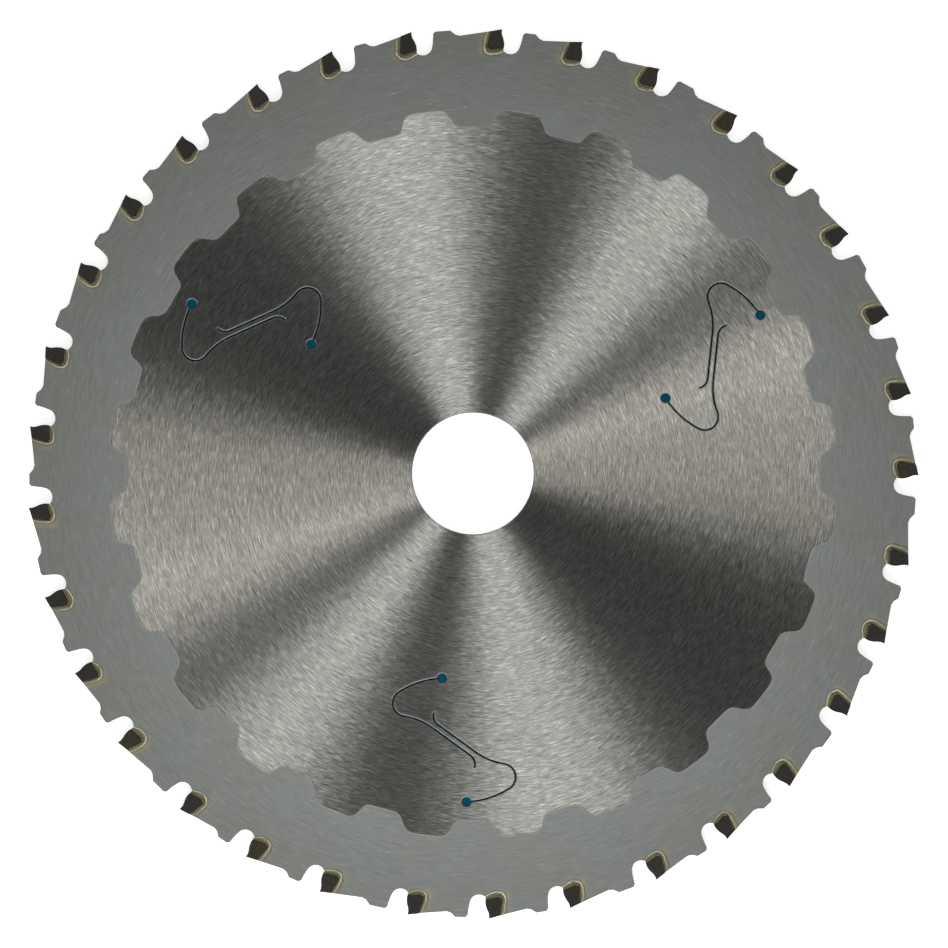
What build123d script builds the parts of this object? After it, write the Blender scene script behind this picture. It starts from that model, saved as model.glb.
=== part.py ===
"""Circular saw blade for metal: 220 mm across the tips, 30 mm bore, 33 brazed carbide tips.

The frame: the blade's axis is +Z, and the origin is on it, halfway through the plate. The front face looks up.
Seen from above, the cutting faces of the teeth look clockwise. Millimetres and degrees throughout.

A tooth is drawn in a frame of its own: +Y is the radius through its cutting corner, +X points ahead of it, that
is clockwise, and the origin stays on the blade's axis.
"""
import os
from math import asin, atan2, cos, degrees, radians, sin, tan

from build123d import *

# Overall sizes
outer_diameter = 220.0
bore_diameter = 30.0
plate_thickness = 1.8
coat_thickness = 0.04
kerf_width = 2.4

# Tooth spacing: groups of three, one long pitch and two short ones
group_count = 11
long_pitch = 11.71
first_tip_angle = -0.25
low_tooth_drop = 0.1

# Carbide tip
tip_height = 4.68
tip_top_length = 2.75
tip_top_relief = 13.5
tip_back_lean = 9.0
tip_seat_tilt = 11.0
tip_heel_cut = 0.85
tip_foot_advance = 0.69
rake_inflection_depth = 1.9
rake_inflection_advance = 0.25
rake_inflection_lean = 25.5
rake_belly_depth = 3.85
rake_belly_advance = 0.775
radial_side_relief = 0.75
tangential_side_relief = 1.5

# Braze between tip and seat, with a collar on each face of the plate
braze_gap = 0.1
collar_height = 0.1
collar_back_width = 1.1
collar_toe_width = 0.78
collar_tilt = 18.0
collar_heel_cut = 2.75
collar_flank_slope = 77.0

# Gullet ahead of the tip
gullet_mouth = 5.28
gullet_wall_length = 3.95
gullet_wall_lean = 11.0
gullet_wall_bow = 0.12
throat_depth = 5.18
throat_advance = 0.57
shoulder_nose_cut = 0.55

# Chip-limiting shoulder and clearance land behind the tip
shoulder_drop = 0.52
short_shoulder_angle = 1.6
long_shoulder_angle = 2.25
step_slope = 42.0
land_slope = 12.2
step_foot_cut = 0.6

# Bare centre with its scalloped border
lobe_count = 24
lobe_phase = -7.5
border_width = 20.1
lobe_depth = 4.4
lobe_top_lead_angle = 3.05
lobe_top_trail_angle = 3.2
lobe_foot_lead_angle = 4.75
lobe_foot_trail_angle = 4.6
lobe_top_lead_cut = 1.55
lobe_top_trail_cut = 1.15
lobe_foot_lead_cut = 0.95
lobe_foot_trail_cut = 0.6

# Damping figures: two equal cuts each, the second turned half round the figure's centre
figure_count = 3
figure_phase = -94.0
figure_rim_distance = 44.1
slot_width = 0.4
relief_hole_diameter = 2.4
resin_recess = 0.1
stem_heading = 148.0
stem_offset = 0.71
stem_lead_length = 6.05
stem_trail_length = 5.5
ease_radius = 16.0
ease_turn = 27.5
bow_radius = 3.3
bow_turn = 139.0
tail_radius = 21.5
tail_turn = 30.0
curl_radius = 2.7
curl_turn = 71.0

# Worked out from the sizes above
outer_radius = outer_diameter / 2
low_tip_radius = outer_radius - low_tooth_drop
shoulder_radius = outer_radius - shoulder_drop
lobe_top_radius = outer_radius - border_width
valley_radius = lobe_top_radius - lobe_depth
figure_centre_radius = outer_radius - figure_rim_distance
seat_heel_cut = tip_heel_cut + braze_gap / 2
rim_half_thickness = plate_thickness / 2 + coat_thickness
short_pitch = (360 / group_count - long_pitch) / 2
mouth_angle = degrees(asin(gullet_mouth / shoulder_radius))

# Two points of an outline closer than this are the same corner
match_distance = 1e-4


def ahead(radius, angle):
    """Point at a radius, an angle ahead of the tooth (clockwise), in the tooth's frame."""
    return Vector(radius * sin(radians(angle)), radius * cos(radians(angle)))


def meet(first, first_heading, second, second_heading):
    """Where two lines cross, each given by a point and its heading from +X."""
    u = Vector(cos(radians(first_heading)), sin(radians(first_heading)))
    v = Vector(cos(radians(second_heading)), sin(radians(second_heading)))
    gap = second - first
    along = (gap.X * v.Y - gap.Y * v.X) / (u.X * v.Y - u.Y * v.X)
    return first + u * along


def to_rim(shape, angle):
    """A shape or place from the tooth's frame, turned to an angle on the blade."""
    return Rot(0, 0, angle - 90) * shape


def point_on_rim(point, angle):
    """A point from the tooth's frame, turned to an angle on the blade."""
    return to_rim(Pos(point), angle).position


def outline_face(edges, cuts):
    """The face inside the edges, with its corners cut off: cuts holds pairs of length and corner points."""
    face = Sketch() + make_face(edges)
    for length, points in cuts:
        corners = [v for v in face.vertices() if min((Vector(v) - p).length for p in points) < match_distance]
        face = chamfer(corners, length)
    return face


def teeth():
    """Each tooth clockwise round the blade: its angle, the pitch behind it, its shoulder and its tip radius."""
    rows = (
        (0, short_pitch, short_shoulder_angle, outer_radius),
        (long_pitch, long_pitch, long_shoulder_angle, low_tip_radius),
        (long_pitch + short_pitch, short_pitch, short_shoulder_angle, low_tip_radius),
    )
    for group in range(group_count):
        for step, pitch, shoulder, radius in rows:
            yield first_tip_angle - group * 360 / group_count - step, pitch, shoulder, radius


# Lines that the tip, its braze and its seat share, in the tooth's frame
tip_back_point = Vector(-tip_top_length, low_tip_radius - tip_top_length * tan(radians(tip_top_relief)))
tip_back_heading = 90 - tip_back_lean
tip_foot_point = Vector(tip_foot_advance, low_tip_radius - tip_height)


def seat_corners(back_gap, foot_gap, tilt):
    """A line behind the tip and one below it, each a gap away: a point on the back, the heel and the toe."""
    back = tip_back_point + Vector(-back_gap / cos(radians(tip_back_lean)), 0)
    toe = tip_foot_point + Vector(0, -foot_gap / cos(radians(tilt)))
    heel = meet(back, tip_back_heading, toe, tilt)
    return back, heel, toe


def land_point(back):
    """Where the clearance land meets a line parallel to the tip's back."""
    return meet(back, tip_back_heading, tip_back_point, land_slope)


def tooth_outline(pitch, shoulder_angle):
    """The plate's edges from the last gullet's mouth to this one's, and the corners to cut off, by name."""
    last_nose = ahead(shoulder_radius, mouth_angle - pitch)
    step_top = ahead(shoulder_radius, mouth_angle + shoulder_angle - pitch)
    step_heading = degrees(atan2(-step_top.X, step_top.Y)) - step_slope
    step_foot = meet(step_top, step_heading, tip_back_point, land_slope)
    back, heel, toe = seat_corners(braze_gap, braze_gap, tip_seat_tilt)
    land_end = land_point(back)
    throat = Vector(throat_advance, low_tip_radius - throat_depth)
    nose = ahead(shoulder_radius, mouth_angle)
    wall_up = Vector(sin(radians(gullet_wall_lean)), cos(radians(gullet_wall_lean)))
    wall = SagittaArc(nose - wall_up * gullet_wall_length, nose, -gullet_wall_bow)
    edges = [
        RadiusArc(last_nose, step_top, -shoulder_radius),
        Line(step_top, step_foot),
        Line(step_foot, land_end),
        Line(land_end, heel),
        Line(heel, toe),
        Line(toe, throat),
        TangentArc(wall @ 0, throat, tangent=-(wall % 0)),
        wall,
    ]
    return edges, {"nose": nose, "step_foot": step_foot, "heel": heel}


def plate_outline():
    """The plate's face without its bore and cuts."""
    edges = []
    corners = {"nose": [], "step_foot": [], "heel": []}
    for angle, pitch, shoulder_angle, _ in teeth():
        tooth_edges, tooth_corners = tooth_outline(pitch, shoulder_angle)
        edges += [to_rim(edge, angle) for edge in tooth_edges]
        for name, point in tooth_corners.items():
            corners[name].append(point_on_rim(point, angle))
    return outline_face(edges, [
        (shoulder_nose_cut, corners["nose"]),
        (step_foot_cut, corners["step_foot"]),
        (seat_heel_cut, corners["heel"]),
    ])


def bare_centre():
    """The uncoated middle of the face, out to its scalloped border."""
    pitch = 360 / lobe_count
    lobe = {
        "foot_trail": ahead(valley_radius, -lobe_foot_trail_angle),
        "top_trail": ahead(lobe_top_radius, -lobe_top_trail_angle),
        "top_lead": ahead(lobe_top_radius, lobe_top_lead_angle),
        "foot_lead": ahead(valley_radius, lobe_foot_lead_angle),
    }
    edges = []
    corners = {name: [] for name in lobe}
    for index in range(lobe_count):
        angle = lobe_phase - index * pitch
        at = {name: point_on_rim(point, angle) for name, point in lobe.items()}
        next_foot = point_on_rim(lobe["foot_trail"], angle - pitch)
        edges += [
            Line(at["foot_trail"], at["top_trail"]),
            RadiusArc(at["top_trail"], at["top_lead"], -lobe_top_radius),
            Line(at["top_lead"], at["foot_lead"]),
            RadiusArc(at["foot_lead"], next_foot, -valley_radius),
        ]
        for name, point in at.items():
            corners[name].append(point)
    return outline_face(edges, [
        (lobe_top_lead_cut, corners["top_lead"]),
        (lobe_top_trail_cut, corners["top_trail"]),
        (lobe_foot_lead_cut, corners["foot_lead"]),
        (lobe_foot_trail_cut, corners["foot_trail"]),
    ])


def damping_cut():
    """One cut of a damping figure, about the figure's centre: a hooked stem that ends in a relief hole."""
    heading = Vector(cos(radians(stem_heading)), sin(radians(stem_heading)))
    middle = Vector(-heading.Y, heading.X) * stem_offset
    stem = Line(middle - heading * stem_trail_length, middle + heading * stem_lead_length)
    ease = JernArc(stem @ 1, stem % 1, ease_radius, ease_turn)
    bow = JernArc(ease @ 1, ease % 1, bow_radius, -bow_turn)
    tail = JernArc(bow @ 1, bow % 1, tail_radius, -tail_turn)
    curl = JernArc(stem @ 0, -(stem % 0), curl_radius, -curl_turn)
    cut = trace([curl, stem, ease, bow, tail], slot_width)
    cut += Pos(tail @ 1) * Circle(relief_hole_diameter / 2)
    return cut


def damping_cuts():
    """Every damping cut in its place on the blade, figure by figure."""
    cut = damping_cut()
    faces = []
    for index in range(figure_count):
        angle = figure_phase - index * 360 / figure_count
        for half_turn in (0, 180):
            placed = Pos(0, figure_centre_radius) * Rot(0, 0, half_turn) * cut
            faces.append(to_rim(placed, angle))
    return faces


def blade_body(outline, cuts):
    """The steel plate: coated toothed rim, bare centre a coat's depth lower, bore and damping cuts."""
    face = outline - Circle(bore_diameter / 2) - cuts
    body = extrude(face, rim_half_thickness, both=True)
    recess = extrude(bare_centre(), coat_thickness, dir=(0, 0, 1))
    body -= Pos(0, 0, plate_thickness / 2) * recess
    body -= Pos(0, 0, -rim_half_thickness) * recess
    return body


def tip_profile(tip_radius):
    """Side view of a carbide tip: relieved top, straight back and foot, and the hooked, bellied rake face."""
    corner = Vector(0, tip_radius)
    back_top = meet(corner, tip_top_relief, tip_back_point, tip_back_heading)
    _, heel, foot = seat_corners(0, 0, tip_seat_tilt)
    inflection = Vector(rake_inflection_advance, low_tip_radius - rake_inflection_depth)
    belly = Vector(rake_belly_advance, low_tip_radius - rake_belly_depth)
    down = Vector(sin(radians(rake_inflection_lean)), -cos(radians(rake_inflection_lean)))
    edges = [
        Line(corner, back_top),
        Line(back_top, heel),
        Line(heel, foot),
        Line(foot, belly),
        TangentArc(inflection, belly, tangent=down),
        TangentArc(inflection, corner, tangent=-down),
    ]
    return outline_face(edges, [(tip_heel_cut, [heel])])


def carbide_tip(tip_radius):
    """A tip in the tooth's frame: widest at its cutting edge, relieved towards its back and its foot."""
    tip = extrude(tip_profile(tip_radius), kerf_width, both=True)
    back_relief = tan(radians(tangential_side_relief))
    foot_relief = tan(radians(radial_side_relief))
    for side in (1, -1):
        flank = Plane(origin=(0, tip_radius, side * kerf_width / 2), z_dir=(-back_relief, -foot_relief, side))
        tip = split(tip, bisect_by=flank, keep=Keep.BOTTOM)
    return tip


def seat_face():
    """Side view of the braze film between the tip and its seat, the tip's back and foot included."""
    back, heel, toe = seat_corners(braze_gap, braze_gap, tip_seat_tilt)
    corners = [land_point(back), heel, toe, tip_foot_point, tip_back_point]
    return outline_face(Polyline(corners, close=True), [(seat_heel_cut, [heel])])


def collar_blank():
    """A low slab over the tip and round it, whose sloped flanks behind and below the tip are the collar's."""
    back, heel, toe = seat_corners(collar_back_width, collar_toe_width, collar_tilt)
    over_gullet = gullet_mouth / 2
    toe_ahead = toe + Vector(over_gullet, over_gullet * tan(radians(collar_tilt)))
    above = Vector(0, 2 * tip_height)
    corners = [back + above, heel, toe_ahead, toe_ahead + above]
    face = outline_face(Polyline(corners, close=True), [(collar_heel_cut, [heel])])
    return extrude(face, collar_height, dir=(0, 0, 1), taper=collar_flank_slope)


def braze_seam(tip_radius, tip, plate):
    """The braze round a tip: the film in its seat, and a low collar with a sloped flank on each face."""
    film = extrude(seat_face(), rim_half_thickness, both=True)
    ground = extrude(plate + seat_face() + tip_profile(tip_radius), collar_height, dir=(0, 0, 1))
    collar = Pos(0, 0, rim_half_thickness) * (collar_blank() & ground)
    return film + collar + mirror(collar, Plane.XY) - tip


def main():
    """Writes one STEP file for each sub-part."""
    os.makedirs("parts", exist_ok=True)
    outline = plate_outline()
    cuts = damping_cuts()
    export_step(blade_body(outline, cuts), "parts/blade_body.step")

    plate = Rot(0, 0, 90 - first_tip_angle) * outline
    tips = {radius: carbide_tip(radius) for radius in (outer_radius, low_tip_radius)}
    seams = {radius: braze_seam(radius, tip, plate) for radius, tip in tips.items()}
    placed_seams = []
    for number, (angle, _, _, tip_radius) in enumerate(teeth(), start=1):
        export_step(to_rim(tips[tip_radius], angle), f"parts/tip_{number:02d}.step")
        placed_seams += to_rim(seams[tip_radius], angle).solids()
    export_step(Compound(children=placed_seams), "parts/braze_seams.step")

    for number, cut in enumerate(cuts, start=1):
        resin = extrude(cut, plate_thickness / 2 - resin_recess, both=True)
        export_step(resin, f"parts/damping_resin_{number}.step")


if __name__ == "__main__":
    main()
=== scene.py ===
"""Finishes and studio for the circular saw blade: brushed steel, satin rim, brazed carbide and damping resin.

The file is laid out as a Blender add-on, and runs as a script on the packed model, whose solids keep their
shapes. Objects are in metres. Inside the materials a place on the blade is in millimetres.
"""

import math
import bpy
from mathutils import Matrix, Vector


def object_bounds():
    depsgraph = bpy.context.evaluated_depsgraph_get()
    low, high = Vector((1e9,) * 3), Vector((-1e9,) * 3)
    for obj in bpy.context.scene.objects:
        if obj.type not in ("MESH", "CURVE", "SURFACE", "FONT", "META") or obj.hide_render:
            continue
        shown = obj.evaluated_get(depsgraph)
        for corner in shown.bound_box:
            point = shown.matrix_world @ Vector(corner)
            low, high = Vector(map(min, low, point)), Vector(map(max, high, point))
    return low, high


bl_info = {
    "name": "Circular Saw Blade Finishes",
    "version": (1, 0, 0),
    "blender": (4, 5, 0),
    "location": "View3D > Sidebar > Saw Blade",
    "description": "Finishes and a studio for a circular saw blade with brazed carbide tips",
    "category": "Material",
}

import bpy
from bpy.props import FloatProperty, FloatVectorProperty, IntProperty, PointerProperty

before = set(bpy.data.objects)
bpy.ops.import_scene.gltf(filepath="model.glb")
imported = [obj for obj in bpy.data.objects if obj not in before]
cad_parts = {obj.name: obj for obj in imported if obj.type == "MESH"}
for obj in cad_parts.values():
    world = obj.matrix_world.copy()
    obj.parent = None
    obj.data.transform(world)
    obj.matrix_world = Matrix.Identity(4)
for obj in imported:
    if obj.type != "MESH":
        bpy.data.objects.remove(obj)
cad_box = [list(corner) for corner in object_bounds()]
outer_radius = max(math.hypot(*vertex.co.xy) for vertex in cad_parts["tip_01"].data.vertices)
MILLIMETRES = 1000.0


def colour(name, description, default):
    return FloatVectorProperty(name=name, description=description, subtype="COLOR", size=3, min=0, max=1,
                               default=default)


def length(name, description, default):
    return FloatProperty(name=name, description=description, unit="LENGTH", subtype="DISTANCE", min=0,
                         precision=5, default=default)


def angle(name, description, degrees):
    return FloatProperty(name=name, description=description, subtype="ANGLE", default=math.radians(degrees))


def share(name, description, default):
    return FloatProperty(name=name, description=description, subtype="FACTOR", min=0, max=1, default=default)


def level(name, description, default, **kind):
    return FloatProperty(name=name, description=description, min=0, default=default, **kind)


class BladeSteelSettings(bpy.types.PropertyGroup):
    """Bare centre, coated rim and the border between them"""
    bare_colour: colour("Bare steel", "Colour of the brushed centre", (0.62, 0.612, 0.585))
    bare_roughness: share("Bare roughness", "Roughness of the brushed centre", 0.32)
    grain: share("Grain", "How much the brush strokes lighten and darken the steel", 0.54)
    stroke_width: length("Stroke width", "Width of a brush stroke", 0.00017)
    stroke_length: length("Stroke length", "Length of a brush stroke", 0.0027)
    # The burr's colour where a cut's edge faces the front is a painted highlight.
    burr_painted_light: colour("Burr", "Colour of the fine burr along the damping cuts", (0.31, 0.335, 0.32))
    # Where a cut's edge faces away, the resin film's teal is darkened into painted shade.
    film_and_shade_colour: colour("Film", "Colour of the resin film beside the damping cuts", (0.008, 0.040, 0.050))
    burr_reach: length("Burr reach", "From the edge of a cut to the end of its burr", 0.0005)
    rim_colour: colour("Rim coat", "Colour of the satin coat on the rim", (0.159, 0.169, 0.168))
    rim_warm_colour: colour("Coat patches", "Colour of the warmer patches of the coat", (0.158, 0.165, 0.159))
    rim_roughness: share("Rim roughness", "Roughness of the satin coat", 0.66)
    rim_lines: share("Rim lines", "How much the fine lines lighten and darken the coat", 0.16)
    edge_colour: colour("Cut edge", "Colour of the cut edges of the plate", (0.20, 0.19, 0.18))
    edge_roughness: share("Edge roughness", "Roughness of the cut edges of the plate", 0.5)
    lobe_count: IntProperty(name="Lobes", description="Lobes of the bare centre", min=3, default=24)
    lobe_phase: angle("First lobe", "Angle of a lobe's middle", -7.5)
    border_width: length("Border width", "From the rim in to the tops of the lobes", 0.0201)
    lobe_depth: length("Lobe depth", "Height of a lobe above the valleys", 0.0044)
    lobe_half_angle: angle("Half lobe", "From a lobe's middle to the middle of its flank", 3.9)


class BladeTipSettings(bpy.types.PropertyGroup):
    """Carbide tips, their braze and the warmed plate round them"""
    carbide_colour: colour("Carbide", "Colour of the ground carbide", (0.0225, 0.0212, 0.0195))
    carbide_tint: colour("Carbide tint", "Warmer colour that some tips take", (0.034, 0.026, 0.0195))
    carbide_roughness: share("Carbide roughness", "Roughness of the ground carbide", 0.42)
    seam_colour: colour("Braze", "Colour of the braze beside the tip", (0.140, 0.127, 0.070))
    # Painted shadow colour: the dark line beside the tip, the shadow outside the bead and the tips' shaded
    # edges.
    painted_shadow_colour: colour("Flux line", "Colour of the dark line close to the tip", (0.022, 0.018, 0.008))
    # The bead is braze, made bright by a painted highlight where the fillet's edge catches the light.
    bead_highlight_colour: colour("Braze bead", "Colour of the bright outer line of the braze", (0.54, 0.525, 0.39))
    heat_colour: colour("Heat tint", "Colour that the plate takes behind the tip", (0.205, 0.190, 0.122))
    bead_distance: length("Bead distance", "From the tip's edge to the middle of the bead", 0.00095)
    bead_width: length("Bead width", "Width of the bead", 0.00030)


class BladeResinSettings(bpy.types.PropertyGroup):
    """Resin in the damping cuts"""
    resin_colour: colour("Resin", "Colour of the resin in the relief holes", (0.0, 0.053, 0.087))
    # Near-black painted shade of the resin in the narrow cuts, also the dark end of its random patches.
    dark_resin_and_shade_colour: colour("Slot resin", "Colour of the resin in the narrow cuts", (0.0005, 0.0035, 0.005))
    resin_roughness: share("Resin roughness", "Roughness of the resin", 0.22)


class BladeStageSettings(bpy.types.PropertyGroup):
    """Floor, softboxes, lamp and camera"""
    floor_colour: colour("Floor", "Colour of the floor", (0.62, 0.62, 0.62))
    floor_glow: level("Floor glow", "Light that the floor gives off where it is seen", 0.72)
    frame_width: length("Frame width", "Width of the picture at the blade", 0.23388)
    camera_distance: length("Camera distance", "From the lens to the blade", 2.0)
    softbox_level: level("Softbox level", "Brightness of the softboxes", 1.175)
    gap_level: level("Gap level", "Brightness of the gaps between them", 0.1)
    lamp_power: level("Lamp power", "Power of the lamp on the near side", 2.1, unit="POWER", subtype="POWER")


SETTINGS = {
    "blade_steel": BladeSteelSettings,
    "blade_tips": BladeTipSettings,
    "blade_resin": BladeResinSettings,
    "blade_stage": BladeStageSettings,
}


class Graph:
    """Short calls that add nodes to a tree. A value may be a number, a colour or another node's socket."""

    def __init__(self, tree):
        self.tree = tree

    def node(self, kind, **settings):
        node = self.tree.nodes.new(kind)
        for name, value in settings.items():
            setattr(node, name, value)
        return node

    def feed(self, socket, value):
        if isinstance(value, bpy.types.NodeSocket):
            self.tree.links.new(value, socket)
        elif socket.type == "RGBA":
            socket.default_value = (*value, 1)
        else:
            socket.default_value = value

    def feed_each(self, sockets, values):
        for socket, value in zip(sockets, values):
            self.feed(socket, value)

    def feed_named(self, node, **values):
        """Feeds the inputs that the words name: base_color is the input Base Color."""
        for name, value in values.items():
            self.feed(node.inputs[name.replace("_", " ").title()], value)

    def math(self, operation, *values):
        node = self.node("ShaderNodeMath", operation=operation)
        self.feed_each(node.inputs, values)
        return node.outputs[0]

    def plus(self, total, *values):
        for value in values:
            total = self.math("ADD", total, value)
        return total

    def minus(self, first, second):
        return self.math("SUBTRACT", first, second)

    def times(self, product, *values):
        for value in values:
            product = self.math("MULTIPLY", product, value)
        return product

    def vector(self, operation, *values, output=0):
        node = self.node("ShaderNodeVectorMath", operation=operation)
        self.feed_each(node.inputs, values)
        return node.outputs[output]

    def scaled(self, vector, factor):
        result = self.vector("SCALE", vector)
        result.node.inputs["Scale"].default_value = factor
        return result

    def distance(self, vector):
        return self.vector("LENGTH", vector, output=1)

    def join(self, x, y, z=0.0):
        node = self.node("ShaderNodeCombineXYZ")
        self.feed_each(node.inputs, (x, y, z))
        return node.outputs[0]

    def split(self, vector):
        node = self.node("ShaderNodeSeparateXYZ")
        self.feed(node.inputs[0], vector)
        return node.outputs

    def ramp(self, value, start, end, low=0.0, high=1.0, smooth=True):
        """Low where the value is at the start, high at the end, and level beyond the two."""
        node = self.node("ShaderNodeMapRange", interpolation_type="SMOOTHSTEP" if smooth else "LINEAR")
        self.feed_each(node.inputs, (value, start, end, low, high))
        return node.outputs[0]

    def between(self, factor, low, high):
        """An eased way from low to high, as the factor goes from 0 to 1."""
        return self.ramp(factor, 0.0, 1.0, low=low, high=high)

    def stripe(self, value, middle, outer, inner, low=0.0, high=1.0):
        """High where the value is within the inner distance of the middle, and low beyond the outer one."""
        off = self.math("ABSOLUTE", self.minus(value, middle))
        return self.ramp(off, outer, inner, low=low, high=high)

    def blend(self, factor, first, second):
        node = self.node("ShaderNodeMix", data_type="FLOAT")
        self.feed_each(node.inputs[:1] + node.inputs[2:4], (factor, first, second))
        return node.outputs[0]

    def tint(self, factor, first, second, blend_type="MIX"):
        node = self.node("ShaderNodeMix", data_type="RGBA", blend_type=blend_type)
        self.feed_each((node.inputs[0], node.inputs[6], node.inputs[7]), (factor, first, second))
        return node.outputs[2]

    def shade(self, base, factor):
        """A colour made lighter or darker by a factor."""
        return self.tint(1.0, base, self.join(factor, factor, factor), blend_type="MULTIPLY")

    def noise(self, vector, scale=1.0, detail=1.0, roughness=0.5):
        node = self.node("ShaderNodeTexNoise", noise_dimensions="3D")
        self.feed_named(node, vector=vector, scale=scale, detail=detail, roughness=roughness)
        return node.outputs[0]

    def waver(self, vector, scale, spread):
        """A slow noise about zero, by up to half the spread to either side."""
        return self.times(self.minus(self.noise(vector, scale=scale), 0.5), spread)

    def rounded(self, radius, samples=2):
        """The surface's normal, turned gradually across its sharp edges."""
        node = self.node("ShaderNodeBevel", samples=samples)
        self.feed_named(node, radius=radius)
        return node.outputs[0]

    def bump(self, height, **values):
        node = self.node("ShaderNodeBump")
        self.feed_named(node, height=height, strength=1.0, **values)
        return node.outputs[0]

    def group(self, tree, **values):
        node = self.node("ShaderNodeGroup", node_tree=tree)
        self.feed_named(node, **values)
        return node.outputs


def shared_group(name, inputs, outputs, fill, *settings):
    """A node group that is built when it is first asked for. The fill function takes its graph, the group's
    inputs and any settings, and gives a value for each of its outputs."""
    if name in bpy.data.node_groups:
        return bpy.data.node_groups[name]
    tree = bpy.data.node_groups.new(name, "ShaderNodeTree")
    for direction, labels in (("INPUT", inputs), ("OUTPUT", outputs)):
        for label in labels:
            kind = "NodeSocketColor" if label.endswith("Color") else "NodeSocketFloat"
            tree.interface.new_socket(label, in_out=direction, socket_type=kind)
    graph = Graph(tree)
    results = fill(graph, graph.node("NodeGroupInput").outputs, *settings)
    ends = graph.node("NodeGroupOutput").inputs
    for label in outputs:
        graph.feed(ends[label], results[label])
    return tree


def new_material(name):
    """A node material: its graph and its Principled BSDF."""
    material = bpy.data.materials.new(name)
    material.use_nodes = True
    shader = material.node_tree.nodes["Principled BSDF"]
    return material, Graph(material.node_tree), shader


def dress(node, material):
    """Gives a CAD node one material."""
    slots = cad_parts[node].data.materials
    slots.clear()
    slots.append(material)


def dress_all(prefix, material):
    """Gives one material to every CAD node whose name starts with the prefix."""
    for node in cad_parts:
        if node.startswith(prefix):
            dress(node, material)


def place_nodes(graph):
    """Where a point lies on the blade: X, Y and Z, its distance from the axis and its angle round it."""
    place = graph.scaled(graph.node("ShaderNodeTexCoord").outputs["Object"], MILLIMETRES)
    x, y, z = graph.split(place)
    radius = graph.distance(graph.join(x, y))
    return {"X": x, "Y": y, "Z": z, "Radius": radius, "Angle": graph.math("ARCTAN2", y, x)}


def fill_blade_place(graph, _):
    return place_nodes(graph)


def blade_place(graph):
    """The same as place_nodes, from a shared group."""
    labels = ("X", "Y", "Z", "Radius", "Angle")
    return graph.group(shared_group("Blade Place", (), labels, fill_blade_place))


def across_and_out(graph, place, turn):
    """A point's place across and along a radius of the blade, from the angle between that radius and it."""
    across = graph.times(place["Radius"], graph.math("SINE", turn))
    return across, graph.times(place["Radius"], graph.math("COSINE", turn))


def turn_from_middle(graph, place, phase, count):
    """How many degrees a point is clockwise of the nearest middle, in a ring of equal parts."""
    pitch = 360 / count
    turned = graph.minus(phase, graph.math("DEGREES", place["Angle"]))
    return graph.math("WRAP", turned, pitch / 2, -pitch / 2)


def direction(graph, turn):
    """A vector of length 1 in the plane of the blade."""
    return graph.join(graph.math("COSINE", turn), graph.math("SINE", turn))


# Runs of straight brush strokes. The blade is cut into equal sectors, and within a sector a run's strokes are
# parallel. Each run's sectors begin at another place, so that strokes of two runs cross at small angles. A
# run is where it begins, in sectors, and its noise's seed. The pull is how much of a lean its shine follows.
STROKE_SECTORS = 24
STROKE_RUNS = ((0.0, 3.1), (1 / 3, 17.7), (2 / 3, 31.3))
STROKE_PULL = 0.7
SECTOR_SEED_STEP = 5.3
# Levels of the noise at which a stroke starts to show and is full
STROKE_RANGE = (0.36, 0.8)
# Strengths of a stroke over which the grain goes from dark to light, and over which a bright scratch appears
GRAIN_RANGE = (0.1, 0.8)
GRAIN_LIGHTER = 0.9
SCRATCH_RANGE = (0.6, 0.95)
SCRATCH_LIGHTER = 1.1


def stroke_run(graph, place, steel, start, seed):
    """One run of brush strokes: their strength, and how far they lean from the circle."""
    turns = graph.plus(graph.times(place["Angle"], STROKE_SECTORS / math.tau), start)
    sector = graph.math("FLOOR", turns)
    offset = graph.minus(graph.minus(turns, sector), 0.5)
    lean = graph.times(offset, math.tau / STROKE_SECTORS)
    along, across = across_and_out(graph, place, lean)
    sector = graph.math("FLOORED_MODULO", sector, STROKE_SECTORS)
    spot = graph.join(graph.math("DIVIDE", across, steel.stroke_width * MILLIMETRES),
                      graph.math("DIVIDE", along, steel.stroke_length * MILLIMETRES),
                      graph.math("MULTIPLY_ADD", sector, SECTOR_SEED_STEP, seed))
    strength = graph.ramp(graph.noise(spot, detail=2.0, roughness=0.6), *STROKE_RANGE, smooth=False)
    weight = graph.math("SQRT", graph.math("COSINE", graph.times(offset, math.pi)))
    return graph.times(strength, weight), lean


def brush_strokes(graph, place, steel):
    """Brush strokes that run round the blade and cross each other at small angles."""
    best, best_lean = stroke_run(graph, place, steel, *STROKE_RUNS[0])
    for run in STROKE_RUNS[1:]:
        strength, lean = stroke_run(graph, place, steel, *run)
        wins = graph.math("GREATER_THAN", strength, best)
        best_lean = graph.blend(wins, best_lean, lean)
        best = graph.math("MAXIMUM", best, strength)
    return best, graph.times(best_lean, STROKE_PULL)


def brushed_grain(graph, strokes, grain):
    """How much lighter or darker the strokes make the steel, about a value of 1."""
    shade = graph.ramp(strokes, *GRAIN_RANGE, low=1 - grain, high=1 + grain * GRAIN_LIGHTER, smooth=False)
    return graph.plus(shade, graph.ramp(strokes, *SCRATCH_RANGE, high=grain * SCRATCH_LIGHTER))


def edge_burr(graph, reach):
    """1 along a sharp edge and 0 from the reach inward, and how far the edge faces the front."""
    plain = graph.node("ShaderNodeNewGeometry").outputs["Normal"]
    lean = graph.vector("SUBTRACT", graph.rounded(reach, samples=4), plain)
    size = graph.distance(lean)
    toward_front = graph.math("DIVIDE", graph.split(lean)[1], graph.plus(size, 0.01))
    return graph.ramp(size, 0.03, 0.22), graph.ramp(toward_front, 0.3, -0.9)


# Fine lines on the rim: how fast their noise changes round the blade and, for each millimetre, across the
# rim. The dashes' first number is on top of the lines' own.
LINES_ROUND = 22.0
LINES_ACROSS = 3.7
DASHES_ROUND = 1.7
DASHES_ACROSS = 3.1
DASH_RANGE = (0.62, 0.74)
DASH_LIGHTER = 1.5


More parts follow.
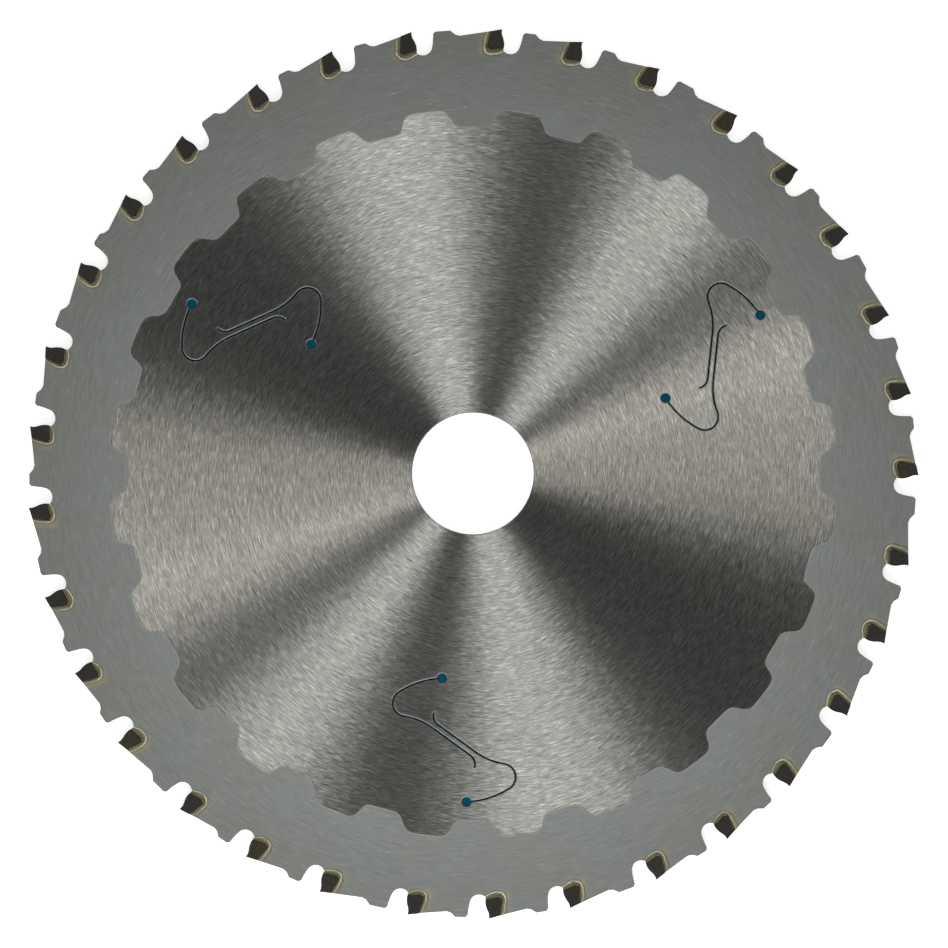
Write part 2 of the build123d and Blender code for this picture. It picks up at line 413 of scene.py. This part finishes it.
def fill_rim_hairlines(graph, start):
    place = blade_place(graph)
    x, y, _ = graph.split(graph.scaled(direction(graph, place["Angle"]), LINES_ROUND))
    line_spot = graph.join(x, y, graph.times(place["Radius"], LINES_ACROSS))
    lines = graph.noise(line_spot, detail=2.0, roughness=0.6)
    dash_spot = graph.join(graph.times(x, DASHES_ROUND), graph.times(y, DASHES_ROUND),
                           graph.times(place["Radius"], DASHES_ACROSS))
    dashes = graph.times(graph.ramp(graph.noise(dash_spot), *DASH_RANGE), DASH_LIGHTER)
    shade = graph.plus(graph.ramp(lines, 0.25, 0.75, low=-1.0, smooth=False), dashes)
    return {"Shade": graph.plus(graph.times(shade, start["Depth"]), 1.0), "Height": lines}


def rim_hairlines(graph, depth):
    """Fine lines that run round the coated rim, with a few short brighter dashes, about a value of 1."""
    tree = shared_group("Rim Hairlines", ("Depth",), ("Shade", "Height"), fill_rim_hairlines)
    return graph.group(tree, depth=depth)


# The blade's own layout, in millimetres and degrees, as its solids have it
FIRST_TIP_ANGLE = -0.25
TOOTH_GROUPS = 11
GROUP_TEETH = 3
LONG_PITCH = 11.71
TIP_BACK_POINT = (-2.75, 109.24)
TIP_BACK_LEAN = 9.0
TIP_FOOT_POINT = (0.69, 105.22)
TIP_SEAT_TILT = 11.0
TIP_HEEL_ROUND = 1.1
# The bead turns round the tip's heel more widely, and lies nearer the tip's back and farther from its foot
BEAD_HEEL_ROUND = 1.9
BEAD_SHIFTS = (0.13, -0.15)


def beyond_side(graph, x, y, point, outward):
    """How far a place lies beyond a straight side that runs through a point."""
    offset = point[0] * outward[0] + point[1] * outward[1]
    return graph.minus(graph.plus(graph.times(x, outward[0]), graph.times(y, outward[1])), offset)


def outside_corner(graph, beyond, rounding, shifts=(0.0, 0.0)):
    """How far a place lies outside a rounded corner, from how far it lies beyond each of the two sides."""
    past = [graph.math("MAXIMUM", graph.plus(side, rounding + shift), 0.0)
            for side, shift in zip(beyond, shifts)]
    return graph.minus(graph.distance(graph.join(*past)), rounding)


def fill_tooth_field(graph, _):
    place = blade_place(graph)
    group_angle = 360 / TOOTH_GROUPS
    short_pitch = (group_angle - LONG_PITCH) / 2
    reach = short_pitch / 2
    turned = graph.minus(FIRST_TIP_ANGLE, graph.math("DEGREES", place["Angle"]))
    ahead = graph.math("WRAP", turned, group_angle - reach, -reach)
    group = graph.math("ROUND", graph.math("DIVIDE", graph.minus(turned, ahead), group_angle))
    tooth = graph.times(graph.math("WRAP", group, TOOTH_GROUPS, 0.0), GROUP_TEETH)
    for pitch in (LONG_PITCH, short_pitch):
        beyond = graph.math("GREATER_THAN", ahead, pitch - reach)
        ahead = graph.minus(ahead, graph.times(beyond, pitch))
        tooth = graph.plus(tooth, beyond)
    x, y = across_and_out(graph, place, graph.math("RADIANS", ahead))
    lean, tilt = math.radians(TIP_BACK_LEAN), math.radians(TIP_SEAT_TILT)
    behind = beyond_side(graph, x, y, TIP_BACK_POINT, (-math.cos(lean), math.sin(lean)))
    below = beyond_side(graph, x, y, TIP_FOOT_POINT, (math.sin(tilt), -math.cos(tilt)))
    return {"Ahead": x, "Up": y, "Behind": behind, "Below": below, "Tooth": tooth,
            "Gap": outside_corner(graph, (behind, below), TIP_HEEL_ROUND),
            "Bead Gap": outside_corner(graph, (behind, below), BEAD_HEEL_ROUND, BEAD_SHIFTS)}


def tooth_field(graph):
    """A point's place in its tooth: ahead of the cutting corner, up the radius, and how far behind, below and
    outside the tip it lies, in millimetres, with the tooth's number."""
    labels = ("Ahead", "Up", "Behind", "Below", "Gap", "Bead Gap", "Tooth")
    return graph.group(shared_group("Tooth Field", (), labels, fill_tooth_field))


# Chances that differ from tooth to tooth, each with its own seed
HEAT_SEED = 2.5
BEAD_PLACE_SEED = 3.5
CARBIDE_SEED = 5.5
BEAD_LEVEL_SEED = 8.5


def tooth_chance(graph, tooth, seed):
    """A plain random number from 0 to 1 for each tooth."""
    noise = graph.node("ShaderNodeTexWhiteNoise", noise_dimensions="1D")
    graph.feed(noise.inputs["W"], graph.plus(tooth["Tooth"], seed))
    return noise.outputs["Value"]


# The braze, in millimetres in the tooth field. A pair is where a change starts and where it ends, but the
# painted shadow line's distances, half widths and levels are first those at the tip's back, then those at its
# foot.
BRAZE_FRONT = (1.5, 1.3)
BEAD_RAKE = (-1.0, 0.7)
BEAD_RAKE_INSET = 0.42
BEAD_LAND = (107.9, 109.2)
BEAD_LAND_INSET = 0.34
BEAD_SCATTER = 0.36
BEAD_WAVER = 0.45
BEAD_FOOT = (-3.6, -0.8)
SHADOW_DISTANCE = 0.38
SHADOW_FADE = (0.2, 0.02)
HEAT_BEHIND = (2.5, 0.9)
HEAT_BEHIND_FOOT = (1.6, -0.8)
HEAT_BELOW = (2.0, 0.8)
HEAT_BELOW_FRONT = (1.5, 0.0)
# The painted shadow line beside the raised tip
TIP_SHADOW_FOOT = (-0.9, 0.1)
TIP_SHADOW_DISTANCES = (0.07, 0.31)
TIP_SHADOW_HALF_WIDTHS = (0.30, 0.16)
TIP_SHADOW_LEVELS = (1.0, 0.8)
TIP_SHADOW_CORE = 0.02
TIP_SHADOW_WAVER = 0.3
# Where the bead starts to show and where it is full, in halves of its width
BEAD_FADE = (1.3, 0.3)


def bead_offset(graph, tooth, spot, bead_distance):
    """How far outside the bead's middle a point lies. The bead runs nearer the tip at its rake and land."""
    at_rake = graph.ramp(tooth["Ahead"], *BEAD_RAKE, high=-BEAD_RAKE_INSET)
    at_land = graph.ramp(tooth["Up"], *BEAD_LAND, high=-BEAD_LAND_INSET)
    chance = graph.times(tooth_chance(graph, tooth, BEAD_PLACE_SEED), BEAD_SCATTER)
    middle = graph.plus(at_rake, at_land, chance, bead_distance - BEAD_SCATTER / 2)
    waver = graph.waver(spot, scale=0.7, spread=BEAD_WAVER)
    return graph.minus(graph.plus(tooth["Bead Gap"], waver), middle)


def heat_tint(graph, tooth, spot):
    """Where heat has tinted the plate: behind the tip and, more faintly, below it."""
    behind = graph.times(graph.ramp(tooth["Behind"], *HEAT_BEHIND),
                         graph.ramp(tooth["Below"], *HEAT_BEHIND_FOOT))
    below = graph.times(graph.ramp(tooth["Below"], *HEAT_BELOW, high=0.45),
                        graph.ramp(tooth["Behind"], *HEAT_BELOW_FRONT))
    blotch = graph.ramp(graph.noise(spot, scale=0.9, detail=3.0), 0.3, 0.65, low=0.45)
    warmth = graph.between(tooth_chance(graph, tooth, HEAT_SEED), 0.5, 1.4)
    return graph.times(graph.math("MAXIMUM", behind, below), blotch, warmth)


def tip_shadow_line(graph, tooth, spot):
    """A painted shadow: the dark line close to the raised tip. At the tip's foot it is thinner, fainter and
    farther out.
    """
    at_foot = graph.ramp(tooth["Below"], *TIP_SHADOW_FOOT)
    middle = graph.between(at_foot, *TIP_SHADOW_DISTANCES)
    half_width = graph.between(at_foot, *TIP_SHADOW_HALF_WIDTHS)
    gap = graph.plus(tooth["Gap"], graph.waver(spot, scale=1.8, spread=TIP_SHADOW_WAVER))
    return graph.times(graph.stripe(gap, middle, half_width, TIP_SHADOW_CORE), graph.between(at_foot, *TIP_SHADOW_LEVELS))


def fill_brazed_surround(graph, start, tips):
    place = blade_place(graph)
    tooth = tooth_field(graph)
    spot = graph.join(place["X"], place["Y"])
    here = graph.ramp(tooth["Ahead"], *BRAZE_FRONT)
    toward_foot = graph.ramp(tooth["Below"], *BEAD_FOOT, low=0.5)
    off = bead_offset(graph, tooth, spot, tips.bead_distance * MILLIMETRES)

    half_bead = tips.bead_width * MILLIMETRES / 2
    bead = graph.ramp(graph.math("ABSOLUTE", off), *(half_bead * part for part in BEAD_FADE))
    patchy = graph.ramp(graph.noise(spot, scale=0.8, detail=3.0), 0.3, 0.58, low=0.42)
    bright = graph.between(tooth_chance(graph, tooth, BEAD_LEVEL_SEED), 0.7, 1.0)
    bead = graph.times(bead, toward_foot, patchy, bright, here)
    braze = graph.times(graph.ramp(off, half_bead, -half_bead), here)

    heat = graph.times(heat_tint(graph, tooth, spot), here)
    warmed = graph.tint(heat, start["Base Color"], tips.heat_colour)
    # A painted shadow just outside the bead, stronger toward the tip's foot
    shadow = graph.stripe(off, SHADOW_DISTANCE, *SHADOW_FADE, high=0.35)
    warmed = graph.tint(graph.times(shadow, toward_foot, here), warmed, tips.painted_shadow_colour)
    streak = graph.ramp(graph.noise(spot, scale=2.4, detail=3.0), 0.3, 0.7, low=0.62, high=1.38)
    dull = graph.tint(tip_shadow_line(graph, tooth, spot), graph.shade(tips.seam_colour, streak), tips.painted_shadow_colour)
    surround = graph.tint(graph.times(braze, 0.92), warmed, dull)
    # The bead's painted highlight over the braze
    return {"Color": graph.tint(bead, surround, tips.bead_highlight_colour), "Braze": braze, "Bead": bead}


def brazed_surround(graph, tips, base_color):
    """The braze round a tip, laid over a colour: a painted shadow line close to the tip, a dull band, a
    bright bead along the outside whose brightness is partly a painted highlight, a painted shadow just
    outside the bead, and a heat tint that fades into the plate behind."""
    outputs = ("Color", "Braze", "Bead")
    tree = shared_group("Brazed Surround", ("Base Color",), outputs, fill_brazed_surround, tips)
    return graph.group(tree, base_color=base_color)


# How steeply the two flanks of a lobe rise, for each degree
TRAIL_FLANK = 1.43
LEAD_FLANK = 1.175


def bare_depth(graph, place, steel):
    """How far a point lies inside the border of the bare centre, which runs in rounded lobes."""
    across = turn_from_middle(graph, place, math.degrees(steel.lobe_phase), steel.lobe_count)
    half_lobe = math.degrees(steel.lobe_half_angle)
    trail = graph.math("TANH", graph.times(graph.plus(across, half_lobe), TRAIL_FLANK))
    lead = graph.math("TANH", graph.times(graph.minus(across, half_lobe), LEAD_FLANK))
    rise = graph.times(graph.minus(trail, lead), 0.5)
    depth = steel.lobe_depth * MILLIMETRES
    valley = (outer_radius - steel.border_width) * MILLIMETRES - depth
    return graph.minus(graph.plus(graph.times(rise, depth), valley), place["Radius"])


# The coat grows darker outward, from the first radius to the second in millimetres, by up to the factor
COAT_DARKER_FROM = 88.0
COAT_DARKER_TO = 105.0
COAT_DARKER = (0.87, 0.865, 0.845)


def rim_coat(graph, steel, tips):
    """The coated rim and its brazed surrounds: their colour, the braze and bead masks and the hairlines."""
    hair = rim_hairlines(graph, steel.rim_lines)
    place = blade_place(graph)
    patch = graph.noise(graph.join(place["X"], place["Y"]), scale=0.045, detail=2.0)
    coat = graph.tint(graph.ramp(patch, 0.35, 0.65), steel.rim_colour, steel.rim_warm_colour)
    outward = graph.ramp(place["Radius"], COAT_DARKER_FROM, COAT_DARKER_TO, smooth=False)
    coat = graph.tint(outward, coat, COAT_DARKER, blend_type="MULTIPLY")
    braze = brazed_surround(graph, tips, graph.shade(coat, hair["Shade"]))
    return braze["Color"], braze["Braze"], braze["Bead"], hair["Height"]


# Along the border of the bare centre, in millimetres inward: half its blur, and a painted shade line and a
# painted highlight, brighter and warmer, along the border. Each of the two has its middle, and how far from
# there it ends and is full.
BORDER_BLUR = 0.08
BORDER_SHADE = (0.12, 0.22, 0.04)
BORDER_HIGHLIGHT = (-0.16, 0.24, 0.05)
# Height of a normal where a face starts to be a cut edge, and where it is one
EDGE_NORMAL = (0.75, 0.35)
# Rounding of the sharp edges and depth of the fine relief, in metres
PLATE_ROUNDING = 0.00008
PLATE_RELIEF = 0.000004
CARBIDE_ROUNDING = 0.00006
CARBIDE_RELIEF = 0.000006
BRAZE_ROUNDING = 0.0001
BRAZE_RELIEF = 0.00003
RESIN_RELIEF = 0.00015


def bare_steel(graph, steel, inside, bare, strokes):
    """The colour of the brushed centre, with a painted shade line just inside its border, and the burr of the
    damping cuts on it, whose colour is painted light: a highlight where a cut's edge faces the front, and
    shade tinted by the resin film where it faces away. Also the mask of that burr."""
    border_shade = graph.stripe(inside, *BORDER_SHADE, low=1.0, high=0.8)
    grain = graph.times(brushed_grain(graph, strokes, steel.grain), border_shade)
    burr, facing = edge_burr(graph, steel.burr_reach)
    burr = graph.times(burr, bare, graph.between(facing, 0.92, 1.0))
    # Painted light on the burr: highlight where the edge faces the front, shade with the film's teal where it
    # faces away.
    burr_painted_light = graph.tint(facing, steel.film_and_shade_colour, steel.burr_painted_light)
    return graph.tint(burr, graph.shade(steel.bare_colour, grain), burr_painted_light), burr


def rim_border_highlight(graph, inside, rim_colour):
    """The rim's colour with a painted highlight along the border, brighter and a little warmer than the coat.
    """
    border_highlight = graph.stripe(inside, *BORDER_HIGHLIGHT, low=1.0, high=1.14)
    warm_border_highlight = graph.join(border_highlight, border_highlight, graph.math("POWER", border_highlight, 0.6))
    return graph.tint(1.0, rim_colour, warm_border_highlight, blend_type="MULTIPLY")


def cut_edge(graph, place, steel):
    """The colour of the plate's cut edges, with streaks through its thickness."""
    spot = graph.join(place["X"], place["Y"], graph.times(place["Z"], 0.15))
    streaks = graph.noise(spot, scale=5.0, detail=3.0)
    return graph.shade(steel.edge_colour, graph.ramp(streaks, 0.25, 0.75, low=0.6, high=1.3, smooth=False))


def brushing_tangent(graph, place, lean):
    """The direction across the brush strokes, in the world's frame."""
    turned = graph.node("ShaderNodeVectorTransform", vector_type="VECTOR", convert_from="OBJECT",
                        convert_to="WORLD")
    graph.feed(turned.inputs[0], direction(graph, graph.plus(place["Angle"], lean)))
    return turned.outputs[0]


def steel_material(scene):
    """Brushed bare centre, satin rim, cut edges and the brazed surrounds, on one plate."""
    steel, tips = scene.blade_steel, scene.blade_tips
    material, graph, shader = new_material("plate_steel")
    place = place_nodes(graph)
    inside = bare_depth(graph, place, steel)
    bare = graph.ramp(inside, -BORDER_BLUR, BORDER_BLUR)
    strokes, lean = brush_strokes(graph, place, steel)
    bare_colour, burr = bare_steel(graph, steel, inside, bare, strokes)
    rim_colour, braze, bead, hair = rim_coat(graph, steel, tips)
    face_colour = graph.tint(bare, rim_border_highlight(graph, inside, rim_colour), bare_colour)

    normal_z = graph.split(graph.node("ShaderNodeTexCoord").outputs["Normal"])[2]
    side = graph.ramp(graph.math("ABSOLUTE", normal_z), *EDGE_NORMAL)
    metal = graph.math("MAXIMUM", graph.times(bare, graph.minus(1.0, burr)), graph.times(braze, 0.3))
    bare_rough = graph.plus(steel.bare_roughness - 0.02, graph.times(strokes, 0.04))
    rough = graph.blend(bare, steel.rim_roughness, bare_rough)
    rim_height = graph.plus(graph.times(hair, 0.3), graph.times(bead, 6.0))
    height = graph.blend(bare, rim_height, strokes)
    graph.feed_named(
        shader,
        base_color=graph.tint(side, face_colour, cut_edge(graph, place, steel)),
        metallic=graph.math("MAXIMUM", metal, side),
        roughness=graph.blend(side, rough, steel.edge_roughness),
        normal=graph.bump(height, distance=PLATE_RELIEF, normal=graph.rounded(PLATE_ROUNDING)),
        tangent=brushing_tangent(graph, place, lean),
    )
    shader.inputs["Anisotropic"].default_value = 1.0
    shader.inputs["Specular IOR Level"].default_value = 0.15
    return material


# Carbide tip, in millimetres in the tooth field: its painted shade along the edge, and the smear of braze
# along its back
TIP_EDGE_SHADE = (-0.75, -0.05)
SMEAR_BEHIND = (-0.22, 0.0)
SMEAR_UP = (106.2, 108.6)


def carbide_material(tips):
    """Ground carbide: near black, with faint grinding lines, painted shade along its back and foot edges and
    a warmer tint on some tips.
    """
    material, graph, shader = new_material("carbide")
    place = blade_place(graph)
    tooth = tooth_field(graph)
    warm = graph.ramp(tooth_chance(graph, tooth, CARBIDE_SEED), 0.7, 1.0)
    base = graph.tint(warm, tips.carbide_colour, tips.carbide_tint)
    # Painted shade along the tip's back and foot edges
    base = graph.tint(graph.times(graph.ramp(tooth["Gap"], *TIP_EDGE_SHADE), 0.75), base, tips.painted_shadow_colour)
    smear = graph.times(graph.ramp(tooth["Behind"], *SMEAR_BEHIND), graph.ramp(tooth["Up"], *SMEAR_UP), 0.45)
    base = graph.tint(smear, base, tips.seam_colour)

    spot = graph.join(place["X"], place["Y"], place["Z"])
    mottle = graph.ramp(graph.noise(spot, scale=2.2, detail=4.0), 0.3, 0.75, low=0.7, high=1.35)
    line_spot = graph.join(graph.times(tooth["Ahead"], 0.8), graph.times(tooth["Up"], 9.0), place["Z"])
    lines = graph.noise(line_spot, detail=2.0)
    shade = graph.times(mottle, graph.ramp(lines, 0.3, 0.7, low=0.85, high=1.15))
    graph.feed_named(
        shader,
        base_color=graph.shade(base, shade),
        metallic=0.35,
        roughness=graph.ramp(lines, 0.25, 0.75, low=tips.carbide_roughness - 0.06,
                             high=tips.carbide_roughness + 0.1),
        normal=graph.bump(lines, distance=CARBIDE_RELIEF, normal=graph.rounded(CARBIDE_ROUNDING)),
    )
    return material


def braze_material(scene):
    """Braze that wetted the tip and its seat: dull gold, with a bright bead along its outer edge."""
    material, graph, shader = new_material("braze")
    place = blade_place(graph)
    base, _, bead, _ = rim_coat(graph, scene.blade_steel, scene.blade_tips)
    lumps = graph.noise(graph.join(place["X"], place["Y"], place["Z"]), scale=2.6, detail=3.0)
    height = graph.plus(graph.times(lumps, 0.5), bead)
    graph.feed_named(
        shader,
        base_color=base,
        metallic=0.3,
        roughness=graph.ramp(lumps, 0.25, 0.75, low=0.38, high=0.55),
        normal=graph.bump(height, distance=BRAZE_RELIEF, normal=graph.rounded(BRAZE_ROUNDING)),
    )
    return material


# Damping figures, in millimetres and degrees: where their middles lie, and their relief holes about those
FIGURE_COUNT = 3
FIGURE_PHASE = -94.0
FIGURE_CENTRE_RADIUS = 65.9
RELIEF_HOLE = (-4.08, 15.01)
RELIEF_HOLE_RADIUS = 1.2
# The resin that fills a hole and the painted shade ring near its edge, each from where it starts to where it
# is full
HOLE_POOL = (RELIEF_HOLE_RADIUS * 1.25, RELIEF_HOLE_RADIUS * 0.95)
HOLE_EDGE_SHADE = (RELIEF_HOLE_RADIUS * 0.62, RELIEF_HOLE_RADIUS * 0.95)


def hole_distance(graph, place):
    """How far a point lies from the middle of the nearest relief hole."""
    turn = graph.math("RADIANS", turn_from_middle(graph, place, FIGURE_PHASE, FIGURE_COUNT))
    x, out = across_and_out(graph, place, turn)
    from_middle = graph.join(x, graph.minus(out, FIGURE_CENTRE_RADIUS))
    holes = [(side * RELIEF_HOLE[0], side * RELIEF_HOLE[1], 0.0) for side in (1, -1)]
    gaps = [graph.distance(graph.vector("SUBTRACT", from_middle, hole)) for hole in holes]
    return graph.math("MINIMUM", *gaps)


def resin_material(resin):
    """Poured resin: deep teal where it fills a relief hole, with random darker patches and a painted shade
    ring near its edge, and painted near-black shade in the narrow cuts.
    """
    material, graph, shader = new_material("damping_resin")
    place = blade_place(graph)
    gap = hole_distance(graph, place)
    pool = graph.ramp(gap, *HOLE_POOL)
    mottle = graph.noise(graph.join(place["X"], place["Y"], place["Z"]), scale=1.6, detail=3.0)
    deep = graph.tint(graph.ramp(mottle, 0.3, 0.7, high=0.3), resin.resin_colour, resin.dark_resin_and_shade_colour)
    # Painted shade ring near the hole's edge
    deep = graph.tint(graph.ramp(gap, *HOLE_EDGE_SHADE, high=0.62), deep, resin.dark_resin_and_shade_colour)
    dish = graph.math("POWER", graph.math("DIVIDE", gap, RELIEF_HOLE_RADIUS), 2.0)
    sunk = graph.plus(graph.times(graph.math("MINIMUM", dish, 1.2), pool), graph.times(mottle, 0.3))
    graph.feed_named(
        shader,
        base_color=graph.tint(pool, resin.dark_resin_and_shade_colour, deep),
        roughness=graph.ramp(mottle, 0.3, 0.7, low=resin.resin_roughness, high=resin.resin_roughness + 0.14),
        normal=graph.bump(sunk, distance=RESIN_RELIEF),
    )
    shader.inputs["Specular IOR Level"].default_value = 0.12
    return material


class BLADE_OT_dress_body(bpy.types.Operator):
    """Gives the steel plate its brushed centre, satin rim and cut edges"""
    bl_idname = "saw_blade.dress_body"
    bl_label = "Blade Body"

    def execute(self, context):
        dress("blade_body", steel_material(context.scene))
        return {"FINISHED"}


class BLADE_OT_dress_tips(bpy.types.Operator):
    """Gives every carbide tip its ground finish"""
    bl_idname = "saw_blade.dress_tips"
    bl_label = "Carbide Tips"

    def execute(self, context):
        dress_all("tip_", carbide_material(context.scene.blade_tips))
        return {"FINISHED"}


class BLADE_OT_dress_braze(bpy.types.Operator):
    """Gives the braze seams their gold finish"""
    bl_idname = "saw_blade.dress_braze"
    bl_label = "Braze Seams"

    def execute(self, context):
        dress("braze_seams", braze_material(context.scene))
        return {"FINISHED"}


class BLADE_OT_dress_resin(bpy.types.Operator):
    """Gives the resin in the damping cuts its finish"""
    bl_idname = "saw_blade.dress_resin"
    bl_label = "Damping Resin"

    def execute(self, context):
        dress_all("damping_resin_", resin_material(context.scene.blade_resin))
        return {"FINISHED"}


# Softboxes round the blade: azimuth and half width in degrees, strength and tint. Each lights the steel along
# its own direction and the opposite one. Its edge fades over the margins outside and inside the half width.
SOFTBOXES = {
    "warm side panel": (7.0, 17.5, 0.77, (1.0, 0.975, 0.90)),
    "warm edge panel": (23.0, 4.5, 0.72, (1.0, 0.985, 0.93)),
    "neutral panel": (53.3, 7.2, 1.47, (1.0, 1.0, 0.965)),
    "cool back panel": (106.0, 10.5, 1.25, (0.985, 1.0, 0.97)),
    "cool wing panel": (93.0, 4.5, 0.52, (0.985, 1.0, 0.965)),
}
SOFTBOX_OUTER_MARGIN = 6.0
SOFTBOX_INNER_MARGIN = 3.0
# The dark place overhead, in degrees from straight above, and the horizon, as a height on the unit sphere
OVERHEAD_ANGLES = (8, 26)
OVERHEAD_COLOUR = (0.02, 0.02, 0.02)
HORIZON_HEIGHTS = (0.16, 0.04)
HORIZON_COLOUR = (1.0, 1.0, 1.0)
# Lamp, floor and camera, in metres, but the sensor in millimetres
LAMP_PLACE = (-0.04, -0.39, 0.30)
LAMP_SIZE = 0.20
FLOOR_REACH = 8.0
CAMERA_SIDESTEP = (0.00028, -0.00011)
CAMERA_VIEW_END = 100
SENSOR_WIDTH = 36.0


def light_world(stage):
    """Softboxes on all sides, dark gaps between them, a dark place overhead and a pale horizon."""
    world = bpy.data.worlds.new("studio")
    bpy.context.scene.world = world
    world.use_nodes = True
    world.node_tree.nodes.clear()
    graph = Graph(world.node_tree)
    x, y, z = graph.split(graph.node("ShaderNodeTexCoord").outputs["Generated"])
    azimuth = graph.math("DEGREES", graph.math("ARCTAN2", y, x))
    light = (stage.gap_level,) * 3
    for centre, half_width, strength, tint in SOFTBOXES.values():
        off = graph.math("ABSOLUTE", graph.math("WRAP", graph.minus(azimuth, centre), 90.0, -90.0))
        inside = graph.ramp(off, half_width + SOFTBOX_OUTER_MARGIN, half_width - SOFTBOX_INNER_MARGIN)
        panel = tuple(part * strength * stage.softbox_level for part in tint)
        light = graph.tint(inside, light, panel, blend_type="ADD")
    overhead = graph.ramp(z, *(math.cos(math.radians(degrees)) for degrees in OVERHEAD_ANGLES))
    light = graph.tint(overhead, OVERHEAD_COLOUR, light)
    light = graph.tint(graph.ramp(z, *HORIZON_HEIGHTS), light, HORIZON_COLOUR)
    background = graph.node("ShaderNodeBackground")
    graph.feed(background.inputs["Color"], light)
    graph.feed(graph.node("ShaderNodeOutputWorld").inputs["Surface"], background.outputs[0])


def add_lamp(stage):
    """An area lamp that looks at the blade from its near side and shows in no reflection."""
    lamp = bpy.data.lights.new("near_lamp", "AREA")
    lamp.energy = stage.lamp_power
    lamp.size = LAMP_SIZE
    body = bpy.data.objects.new("near_lamp", lamp)
    body.location = LAMP_PLACE
    body.rotation_euler = (-body.location).to_track_quat("-Z", "Y").to_euler()
    body.visible_glossy = False
    bpy.context.scene.collection.objects.link(body)


def add_floor(stage):
    """A wide pale floor under the tips, which keeps the blade's shadow."""
    floor_mesh = bpy.data.meshes.new("floor")
    corners = [(x * FLOOR_REACH, y * FLOOR_REACH, cad_box[0][2])
               for x, y in ((-1, -1), (1, -1), (1, 1), (-1, 1))]
    floor_mesh.from_pydata(corners, [], [(0, 1, 2, 3)])
    floor = bpy.data.objects.new("floor", floor_mesh)
    bpy.context.scene.collection.objects.link(floor)
    material, graph, shader = new_material("floor")
    path = graph.node("ShaderNodeLightPath").outputs
    seen = graph.math("MAXIMUM", path["Is Glossy Ray"], path["Is Transmission Ray"])
    seen = graph.math("MAXIMUM", path["Is Camera Ray"], seen)
    graph.feed_named(
        shader,
        base_color=stage.floor_colour,
        roughness=0.8,
        emission_color=(1, 1, 1),
        emission_strength=graph.times(seen, stage.floor_glow),
    )
    floor_mesh.materials.append(material)


def add_camera(stage):
    """A long lens straight above the blade, a little off its middle as in the photograph."""
    data = bpy.data.cameras.new("camera")
    data.sensor_width = SENSOR_WIDTH
    data.lens = SENSOR_WIDTH * stage.camera_distance / stage.frame_width
    data.clip_end = CAMERA_VIEW_END
    camera = bpy.data.objects.new("camera", data)
    camera.location = (*CAMERA_SIDESTEP, cad_box[1][2] + stage.camera_distance)
    bpy.context.scene.collection.objects.link(camera)
    bpy.context.scene.camera = camera


class BLADE_OT_stage(bpy.types.Operator):
    """Adds the floor, the softboxes, the lamp and the camera"""
    bl_idname = "saw_blade.stage"
    bl_label = "Stage"

    def execute(self, context):
        stage = context.scene.blade_stage
        context.scene.view_settings.view_transform = "Standard"
        light_world(stage)
        add_lamp(stage)
        add_floor(stage)
        add_camera(stage)
        return {"FINISHED"}


class VIEW3D_PT_saw_blade(bpy.types.Panel):
    """The blade's pieces and their settings"""
    bl_label = "Saw Blade"
    bl_space_type = "VIEW_3D"
    bl_region_type = "UI"
    bl_category = "Saw Blade"

    def draw(self, context):
        for operator in OPERATORS:
            self.layout.operator(operator.bl_idname)
        for name, group in SETTINGS.items():
            box = self.layout.box()
            box.label(text=group.__doc__)
            for setting in group.__annotations__:
                box.prop(getattr(context.scene, name), setting)


OPERATORS = (BLADE_OT_dress_body, BLADE_OT_dress_tips, BLADE_OT_dress_braze, BLADE_OT_dress_resin,
             BLADE_OT_stage)
CLASSES = (*SETTINGS.values(), *OPERATORS, VIEW3D_PT_saw_blade)


def register():
    for item in CLASSES:
        bpy.utils.register_class(item)
    for name, group in SETTINGS.items():
        setattr(bpy.types.Scene, name, PointerProperty(type=group))


def unregister():
    for name in SETTINGS:
        delattr(bpy.types.Scene, name)
    for item in reversed(CLASSES):
        bpy.utils.unregister_class(item)


def main():
    register()
    bpy.ops.saw_blade.dress_body()
    bpy.ops.saw_blade.dress_tips()
    bpy.ops.saw_blade.dress_braze()
    bpy.ops.saw_blade.dress_resin()
    bpy.ops.saw_blade.stage()


if __name__ == "__main__":
    main()
